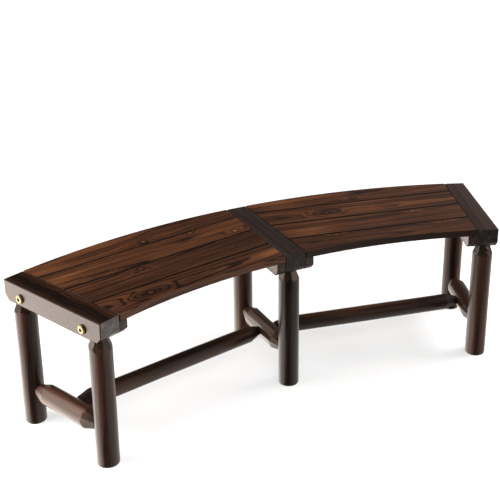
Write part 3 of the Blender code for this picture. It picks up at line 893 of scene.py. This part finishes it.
def turned(r, profile, sides, curves=()):
    """Surface turned round Z from a profile of radius and height, after the given curves."""
    points = [profile_point(r, radius, height) for radius, height in profile]
    curves = [*curves, *(r.form("CurvePrimitiveLine", {"Start": start, "End": end})
                         for start, end in zip(points, points[1:]))]
    circle = r.form("CurvePrimitiveCircle", {"Resolution": sides, "Radius": SPINDLE})
    whole = r.form("JoinGeometry", {0: curves[::-1]})
    surface = r.form("CurveToMesh", {"Curve": circle, "Profile Curve": whole})
    return r.form("MergeByDistance", {"Geometry": surface, "Distance": MERGE_DISTANCE})


def raised(r, shape, height):
    return r.form("Transform", {"Geometry": shape, "Translation": r.xyz(0.0, 0.0, height)})


def cut_out(r, shape, tools):
    return r.form("MeshBoolean", {"Mesh 1": shape, "Mesh 2": tools}, operation="DIFFERENCE")


def bolt_shape(r, take):
    radius, rise, rim = take["Head Radius"], take["Head Height"], take["Rim"]
    shank, nose, thread_length = take["Shank Radius"], take["Nose"], take["Thread Length"]
    pull = r.add(rim, r.times(r.less(rise, rim), DOME_PULL))
    dome = r.form("CurvePrimitiveBezierSegment", {
        "Resolution": 10, "Start": profile_point(r, 0.0, rise),
        "Start Handle": profile_point(r, r.times(radius, DOME_PULL), rise),
        "End Handle": profile_point(r, radius, pull), "End": profile_point(r, radius, rim)})
    floor = r.times(take["Length"], -1.0)
    start = r.add(floor, nose)
    body = turned(r, [(radius, rim), (radius, 0.0), (shank, 0.0), (shank, start),
                      (r.less(shank, nose), floor), (0.0, floor)], HEAD_SIDES, [dome])
    key = r.form("MeshCylinder", {"Vertices": 6, "Depth": r.times(take["Key Depth"], 2.0),
                                  "Radius": r.times(take["Key Flats"], HEXAGON)})
    bolt = cut_out(r, body, [raised(r, key, rise)])
    rounds = r.calc("DIVIDE", thread_length, take["Pitch"])
    spiral = r.form("CurveSpiral", {"Resolution": 20, "Rotations": rounds, "Start Radius": shank,
                                    "End Radius": shank, "Height": thread_length})
    ridge = r.form("CurvePrimitiveCircle", {"Resolution": 3, "Radius": take["Thread Depth"]})
    thread = r.form("CurveToMesh", {"Curve": spiral, "Profile Curve": ridge, "Fill Caps": True})
    return r.form("JoinGeometry", {0: [raised(r, thread, start), bolt]})


def washer_shape(r, take):
    hole, radius, thick = take["Hole Radius"], take["Radius"], take["Thickness"]
    outer, upper = r.less(radius, WASHER_EDGE), r.less(thick, WASHER_EDGE)
    return turned(r, [(hole, thick), (outer, thick), (radius, upper), (radius, WASHER_EDGE),
                      (outer, 0.0), (hole, 0.0), (hole, thick)], HEAD_SIDES)


def nut_shape(r, take):
    flats, height = take["Flats"], take["Height"]
    corner = r.times(flats, HEXAGON)
    inner = r.times(flats, 0.49)
    rise = r.times(r.less(corner, inner), 0.6)
    hexagon = r.form("MeshCylinder", {"Vertices": 6, "Radius": corner, "Depth": height})
    rounding = turned(r, [(0.0, height), (inner, height), (corner, r.less(height, rise)),
                          (corner, rise), (inner, 0.0), (0.0, 0.0)], HEAD_SIDES)
    both = r.form("MeshBoolean", {"Mesh 2": [raised(r, hexagon, r.times(height, 0.5)), rounding]},
                  operation="INTERSECT")
    hole = r.form("MeshCylinder", {"Vertices": 32, "Radius": take["Bore Radius"],
                                   "Depth": r.times(height, 3.0)})
    return cut_out(r, both, [hole])


def screw_shape(r, take):
    """Countersunk screw that points up, its head's face at Z = 0."""
    head, shank, length = take["Head Radius"], take["Shank Radius"], take["Length"]
    body = turned(r, [(0.0, length), (shank, r.less(length, r.times(shank, 2.2))),
                      (shank, take["Head Depth"]), (head, 0.0002), (head, 0.0), (0.0, 0.0)],
                  SCREW_SIDES)
    slot, long, deep = r.times(head, 0.2), r.times(head, 1.15), r.times(take["Recess"], 2.0)
    bars = [r.form("MeshCube", {"Size": r.xyz(x, y, deep)})
            for x, y in ((long, slot), (slot, long))]
    return cut_out(r, body, bars)


def fastener_tree(name, shape, sizes):
    """Shape set at each given place, turned by the place's own turn, as one mesh."""
    takes = {"Places": "shape", **dict.fromkeys(sizes, "number"), "Finish": "finish"}
    r, take, give = new_tree(name, "GeometryNodeTree", takes, {"Pieces": "shape"})
    turn = r.form("InputNamedAttribute", {"Name": "turn"}, data_type="FLOAT_VECTOR")
    kept = r.form("StoreNamedAttribute", {"Geometry": shape(r, take), "Name": "own_place",
                                          "Value": r.form("InputPosition")},
                  data_type="FLOAT_VECTOR", domain="POINT")
    spread = r.form("InstanceOnPoints", {
        "Points": take["Places"], "Instance": kept,
        "Rotation": r.out("FunctionNodeEulerToRotation", {0: turn})})
    real = r.form("RealizeInstances", {"Geometry": spread})
    r.feed(give["Pieces"], r.form("SetMaterial", {"Geometry": real, "Material": take["Finish"]}))
    return r.tree


def set_fasteners(name, shape, places, finish, nodes, sharp, sizes):
    """Run a fastener's tree over its places and show the result as one plain mesh."""
    mesh = plain_mesh(name, [tuple(place.translation) for place in places])
    turns = mesh.attributes.new("turn", "FLOAT_VECTOR", "POINT")
    for item, place in zip(turns.data, places):
        item.vector = tuple(place.to_euler())
    carrier = linked(name, mesh)
    modifier = carrier.modifiers.new("Fasteners", "NODES")
    modifier.node_group = fastener_tree(name, shape, sizes)
    values = {**sizes, "Finish": finish}
    for entry in modifier.node_group.interface.items_tree:
        if entry.in_out == "INPUT" and entry.name in values:
            modifier[entry.identifier] = values[entry.name]
    made = baked(carrier)
    if "turn" in made.attributes:
        made.attributes.remove(made.attributes["turn"])
    smooth(made, sharp)
    show(name, made, nodes)


# ------------ the bench

LOG_LOOKS = dict(tones=LOG_TONES, tone=0.42, ring=0.0036, taper=0.01, wander=0.014,
                 contrast=0.5, banded=0.6, patchy=1.0, streaky=0.15, rough=0.33, shine=0.36,
                 relief=0.0003)
BEAM_LOOKS = dict(tones=BEAM_TONES, tone=0.5, ring=0.0048, taper=0.01, wander=0.01,
                  contrast=0.9, banded=0.5, patchy=0.5, streaky=0.2, rough=0.42, shine=0.28,
                  relief=0.0006)
CLEAT_LOOKS = {**BEAM_LOOKS, "pith": (0.02, -0.05), "end_tones": GREY_TONES, "sawn": 0.22}
BOARD_LOOKS = dict(tones=BOARD_TONES, ring=0.0058, taper=0.016, wander=0.016, contrast=1.3,
                   banded=0.65, patchy=0.65, streaky=0.42, rough=0.37, shine=0.2,
                   relief=0.0005, sawn=0.45, end_tones=DARK_SAWN_TONES)
# How far the gathered stain and the painted shade of the gaps reach in from a board's edges, and
# how dark they are
EDGE_REACH = {"left": 0.0028, "right": 0.004}
END_STAIN_AND_SHADE = -0.12
JOINT_STAIN_AND_SHADE = -0.9

screw_places = []
spokes = {side: spoke_place(side) for side in SIDES}
sections = {side: section_place(side) for side in ("left", "right")}

add_beam("left", 11, pith=(-0.1, -0.09), tone=0.3, sway=0.016, shine=0.75, rough=0.3,
         zones=[((0.02, -0.002), 0.3, 0.0058, -1.2), ((-0.06, 0.011), 0.18, 0.003, -0.8),
                # The thin light line at (0.0, -0.0115) is a painted glint along the top.
                ((0.0, -0.0115), 0.26, 0.0014, 0.36), ((0.05, -0.014), 0.12, 0.004, 0.14),
                ((-0.1, 0.004), 0.08, 0.004, 0.14), ((0.0, -0.0265), 0.3, 0.0022, 0.3)],
         relief=0.0001, sawn=0.56)
GREY_BEAM = dict(pith=(-0.2, -0.02), tones=GREY_TONES, ring=0.0085, wander=0.006, contrast=0.8,
                 end_tones=DARK_SAWN_TONES)
add_beam("middle", 12, tone=0.43, ridges=(-0.03, 0.03, 0.0084), sawn=0.16,
         saw_reach=(0.02, 0.0024, 0.012), **GREY_BEAM)
add_beam("right", 13, tone=0.47, ridges=(0.001, 0.031, 0.0072), sawn=0.2,
         saw_reach=(0.02, 0.003, 0.012), **GREY_BEAM)

LOGS = {
    ("left", "front"): dict(tone=0.39, dull_tip=0.05),
    ("left", "back"): dict(tone=0.52, marked=0.5, dull_tip=0.3, tip_change=-0.34),
    ("left", "rung"): dict(tone=0.57, shine=0.8),
    # The middle front leg's hewn tip is lightened as a painted highlight on its flats, and its
    # zone is painted shade on the front flat.
    ("middle", "front"): dict(tones=GREY_TONES, tone=0.06, shine=0.27, marked=0.05,
                              dull_tip=-0.04, carved=0.2, tip_change=0.62,
                              zones=[((0.352, -0.012), 0.03, 0.009, -0.55)]),
    ("middle", "back"): dict(tone=0.45, shine=0.33),
    ("middle", "rung"): dict(tone=0.5, shine=0.6, rough=0.34),
    ("right", "front"): dict(tone=0.84, shine=0.22, marked=0.9, carved=12.0, tip_change=-0.74),
    ("right", "back"): dict(tone=0.33, shine=0.15),
    ("right", "rung"): dict(tone=0.4),
}
seed = 21
for side, spoke in spokes.items():
    for end in ENDS:
        add_leg(side, end, spoke, seed, **LOGS[side, end])
        seed += 1
    add_rung(side, spoke, seed, **LOGS[side, "rung"])
    seed += 1

add_cleat("left", "outer", 1, spokes["left"], 41)
add_cleat("left", "inner", -1, spokes["middle"], 42)
add_cleat("right", "inner", 1, spokes["middle"], 43)
add_cleat("right", "outer", -1, spokes["right"], 44, tones=GREY_TONES, tone=0.85)

add_stretcher("left", sections["left"], 51, tone=0.33)
add_stretcher("right", sections["right"], 52, tone=0.33)

# Each section's boards from front to back
BOARDS = {
    "left": [
        dict(pith=(-0.006, -0.055), tone=0.4, taper=0.022, contrast=1.8, painted_side_light=0.14,
             knots=[((-0.141, -0.008), 0.007, 0.062, 0.019, 4.2)],
             zones=[((-0.256, -0.01), 0.05, 0.03, 0.24), ((0.265, -0.012), 0.1, 0.03, 0.3)]),
        dict(pith=(0.06, -0.04), tone=0.415,
             knots=[((-0.088, 0.033), 0.006, 0.04, 0.014, 3.0)],
             zones=[((-0.27, 0.03), 0.05, 0.02, 0.14)]),
        dict(pith=(-0.04, -0.06), tone=0.535,
             knots=[((0.149, 0.04), 0.006, 0.036, 0.014, 2.4),
                    ((0.261, -0.029), 0.006, 0.036, 0.014, 2.4)],
             zones=[((-0.29, -0.01), 0.07, 0.04, 0.24), ((0.11, 0.008), 0.03, 0.01, -0.3)]),
        dict(pith=(0.03, -0.05), tone=0.505,
             knots=[((0.01, -0.027), 0.007, 0.05, 0.018, 3.4)],
             zones=[((-0.3, -0.02), 0.08, 0.03, 0.18)]),
    ],
    "right": [
        dict(pith=(-0.02, -0.045), tone=0.42, painted_side_light=-0.35,
             knots=[((-0.142, 0.027), 0.006, 0.06, 0.02, 3.6),
                    ((0.2, 0.024), 0.005, 0.07, 0.018, 3.0)],
             zones=[((-0.22, -0.005), 0.02, 0.006, -0.25)]),
        dict(pith=(0.05, -0.06), tone=0.48,
             knots=[((0.139, 0.035), 0.006, 0.036, 0.013, 2.2)],
             zones=[((-0.2, -0.03), 0.09, 0.05, 0.25)]),
        dict(pith=(-0.01, -0.04), tone=0.46,
             knots=[((-0.116, -0.008), 0.006, 0.06, 0.018, 3.2)],
             zones=[((0.002, 0.039), 0.1, 0.03, 0.16)]),
        dict(pith=(0.02, -0.06), tone=0.51,
             knots=[((-0.053, -0.026), 0.005, 0.03, 0.012, 2.0),
                    ((0.005, -0.017), 0.005, 0.03, 0.012, 2.0)],
             zones=[((-0.24, -0.02), 0.07, 0.03, 0.18)]),
    ],
}
seed = 61
for side, boards in BOARDS.items():
    for edges, looks in zip(board_edges(), boards):
        add_board(side, *edges, seed, **looks)
        seed += 1

BRASS = metal_finish("brass_plate", (0.46, 0.385, 0.225), (0.055, 0.042, 0.019), 0.34, 0.4, 0.35,
                     recess=HEX_KEY_FLATS * HEXAGON)
ZINC = metal_finish("zinc_plate", (0.62, 0.64, 0.67), (0.36, 0.37, 0.38), 0.28, 0.5, 0.5)

HEAD_FACES = {"end": BEAM_WIDTH / 2, "middle": CLEAT_FACE}
washer_at = CLEAT_FACE + SEAT_CLEARANCE
nut_at = washer_at + WASHER_THICKNESS + SEAT_CLEARANCE
washers, nuts, labels = [], [], []
heads = {kind: [] for kind in HEAD_FACES}
bolts = {kind: [] for kind in HEAD_FACES}
for side, spoke in spokes.items():
    way = 1 if SIDES[side] > 0 else -1
    kind = "middle" if side == "middle" else "end"
    for end, forward in ENDS.items():
        spin = Matrix.Rotation(0.4 + 0.9 * forward + 0.7 * SIDES[side], 4, "Z")
        head_at = HEAD_FACES[kind] + SEAT_CLEARANCE
        heads[kind].append(bolt_place(spoke, forward, way, head_at) @ spin)
        washers.append(bolt_place(spoke, forward, -way, washer_at))
        nuts.append(bolt_place(spoke, forward, -way, nut_at) @ spin)
        labels.append(f"{side}_{end}")
        bolts[kind].append(f"bolt_{labels[-1]}")

for kind, face in HEAD_FACES.items():
    set_fasteners(f"{kind}_beam_bolts", bolt_shape, heads[kind], BRASS,
                  bolts[kind], SHARP,
                  {"Head Radius": BOLT_HEAD_RADIUS, "Head Height": BOLT_HEAD_HEIGHT,
                   "Rim": BOLT_RIM, "Shank Radius": BOLT_RADIUS - THREAD_DEPTH / 2,
                   "Length": face + SEAT_CLEARANCE + nut_at + NUT_HEIGHT + BOLT_PROUD,
                   "Nose": BOLT_NOSE, "Key Flats": HEX_KEY_FLATS, "Key Depth": HEX_KEY_DEPTH,
                   "Pitch": THREAD_PITCH, "Thread Length": THREAD_LENGTH,
                   "Thread Depth": THREAD_DEPTH})
set_fasteners("bolt_washers", washer_shape, washers, ZINC,
              [f"washer_{label}" for label in labels], SHARP,
              {"Hole Radius": BOLT_RADIUS + BORE_CLEARANCE, "Radius": WASHER_RADIUS,
               "Thickness": WASHER_THICKNESS})
set_fasteners("bolt_nuts", nut_shape, nuts, ZINC,
              [f"nut_{label}" for label in labels], NUT_SHARP,
              {"Flats": NUT_FLATS, "Height": NUT_HEIGHT,
               "Bore Radius": BOLT_RADIUS + BORE_CLEARANCE})
set_fasteners("board_screws", screw_shape, screw_places, ZINC, [], SHARP,
              {"Head Radius": SCREW_HEAD_RADIUS, "Head Depth": SCREW_HEAD_DEPTH,
               "Shank Radius": SCREW_RADIUS, "Length": SCREW_LENGTH, "Recess": SCREW_RECESS})

# ------------ studio

FLOOR_REACH = 30.0
FLOOR_GREY = 0.36
# The floor's own light grows with the distance from the bench's back right: from
# the first to the second distance, the first to the second strength.
FLOOR_DARKEST = (0.45, 0.25, 0.0)
FLOOR_LIGHT = (0.3, 3.2, 0.52, 1.05)
# Glow of the studio below and above the horizon: bearing from the bench's front towards
# its right, height, angles off that line where it is full and where it ends, brightness.
FLOOR_GLOWS = [(-118, -16, 22, 52, 3.2), (-168, -27, 20, 46, 2.6), (-88, -27, 8, 30, 1.2),
               (63, -27, 30, 70, 1.1), (98, -6, 8, 26, 2.4), (138, -27, 18, 45, 0.45)]
SKY_GLOWS = [(-117, 27, 16, 46, 0.5), (-114, 13, 8, 24, 1.6), (-137, 40, 10, 27, 1.7),
             (-137, 4, 5, 12, 2.6), (56, 6, 5, 13, 3.00), (97, 4, 6, 14, 2.6),
             (63, 27, 20, 60, 0.7), (122, 22, 12, 34, 0.25), (0, 90, 18, 50, 0.2)]
DIM = 0.02
WARMTH = (1.0, 0.91, 0.84)
BACKDROP = (0.95, 0.95, 0.95, 1.0)
# Soft boxes: place, target, width, height and power
LAMPS = {"top_box": ((0.0, 0.1, 3.2), (0, 0, 0.4), 3.2, 2.4, 50),
         "front_box": ((-0.8, -2.6, 2.6), (0, 0, 0.4), 2.6, 1.6, 80),
         "left_box": ((-2.1, 0.35, 0.58), (-0.75, 0, 0.3), 1.7, 1.1, 95),
         "right_box": ((1.72, -0.35, 0.5), (0.75, 0, 0.3), 0.9, 0.8, 50)}


def add_floor():
    """Plain pale floor that the bench stands on; the wood is lit by the studio alone."""
    mesh = plain_mesh("floor", [(x * FLOOR_REACH, y * FLOOR_REACH, 0)
                                for x, y in ((-1, -1), (1, -1), (1, 1), (-1, 1))],
                      [(0, 1, 2, 3)])
    paint, r, skin = new_finish("pale_floor")
    place = r.node("ShaderNodeTexCoord").outputs["Object"]
    reach = r.vector("DISTANCE", place, FLOOR_DARKEST, out=1)
    r.fill(skin, {"Base Color": (FLOOR_GREY, FLOOR_GREY, FLOOR_GREY, 1.0), "Roughness": 0.9,
                  "Specular IOR Level": 0.0, "Emission Color": (1.0, 1.0, 1.0, 1.0),
                  "Emission Strength": r.ease(reach, *FLOOR_LIGHT)})
    mesh.materials.append(paint)
    floor = linked("floor", mesh)
    floor.visible_diffuse = False
    floor.visible_glossy = False


def add_lamp(name, place, target, width, height, power):
    """Soft box that faces its target, and leaves no streak in the varnish."""
    light = bpy.data.lights.new(name, "AREA")
    light.shape = "RECTANGLE"
    light.size, light.size_y = width, height
    light.energy = power
    lamp = linked(name, light)
    lamp.visible_glossy = False
    lamp.location = place
    lamp.rotation_euler = (Vector(target) - Vector(place)).to_track_quat("-Z", "Y").to_euler()


def add_sky():
    """Plain studio surroundings: bright at the sides and overhead, pale to the camera."""
    world = bpy.data.worlds.new("studio")
    world.use_nodes = True
    bpy.context.scene.world = world
    r = Recipe(world.node_tree)
    way = r.node("ShaderNodeTexCoord").outputs["Generated"]
    height = r.split(way)[2]
    glow = DIM
    for glows, share in ((FLOOR_GLOWS, r.fade(height, -0.05, 0.08)),
                         (SKY_GLOWS, r.ease(height, -0.02, 0.12))):
        for bearing, rise, full, edge, strength in glows:
            middle = Euler((-radians(rise), 0, radians(bearing))).to_matrix() @ Vector((0, -1, 0))
            facing = r.vector("DOT_PRODUCT", way, middle, out=1)
            lobe = r.ease(facing, cos(radians(edge)), cos(radians(full)), 0.0, strength)
            glow = r.plus(glow, lobe, share)
    warm = r.vector("MULTIPLY", r.xyz(glow, glow, glow), WARMTH)
    seen = r.node("ShaderNodeLightPath").outputs["Is Camera Ray"]
    r.feed(world.node_tree.nodes["Background"].inputs["Color"], r.mix(seen, warm, BACKDROP))


add_floor()
add_sky()
for name, settings in LAMPS.items():
    add_lamp(name, *settings)

# ------------ camera

CAMERA_PLACE = (-1.20341, -2.28239, 1.5815)
CAMERA_YAW = radians(-27.214)
CAMERA_PITCH = radians(20.1721)
CAMERA_ROLL = radians(-0.2794)
CAMERA_SHIFT = (-0.03, -0.158)
CAMERA_FOCUS = 978.452
IMAGE_SIZE = 500
SENSOR = 36.0


def add_camera():
    view = bpy.data.cameras.new("camera")
    view.sensor_width = SENSOR
    view.lens = CAMERA_FOCUS / IMAGE_SIZE * SENSOR
    view.shift_x, view.shift_y = CAMERA_SHIFT
    forward = Vector((-sin(CAMERA_YAW) * cos(CAMERA_PITCH), cos(CAMERA_YAW) * cos(CAMERA_PITCH),
                      -sin(CAMERA_PITCH)))
    right = Vector((cos(CAMERA_YAW), sin(CAMERA_YAW), 0))
    up = right.cross(forward)
    side = right * cos(CAMERA_ROLL) + up * sin(CAMERA_ROLL)
    over = up * cos(CAMERA_ROLL) - right * sin(CAMERA_ROLL)
    turn = Matrix((side, over, -forward)).transposed().to_4x4()
    camera = linked("camera", view)
    camera.matrix_world = Matrix.Translation(CAMERA_PLACE) @ turn
    bpy.context.scene.camera = camera


add_camera()
bpy.context.scene.view_settings.view_transform = "Standard"
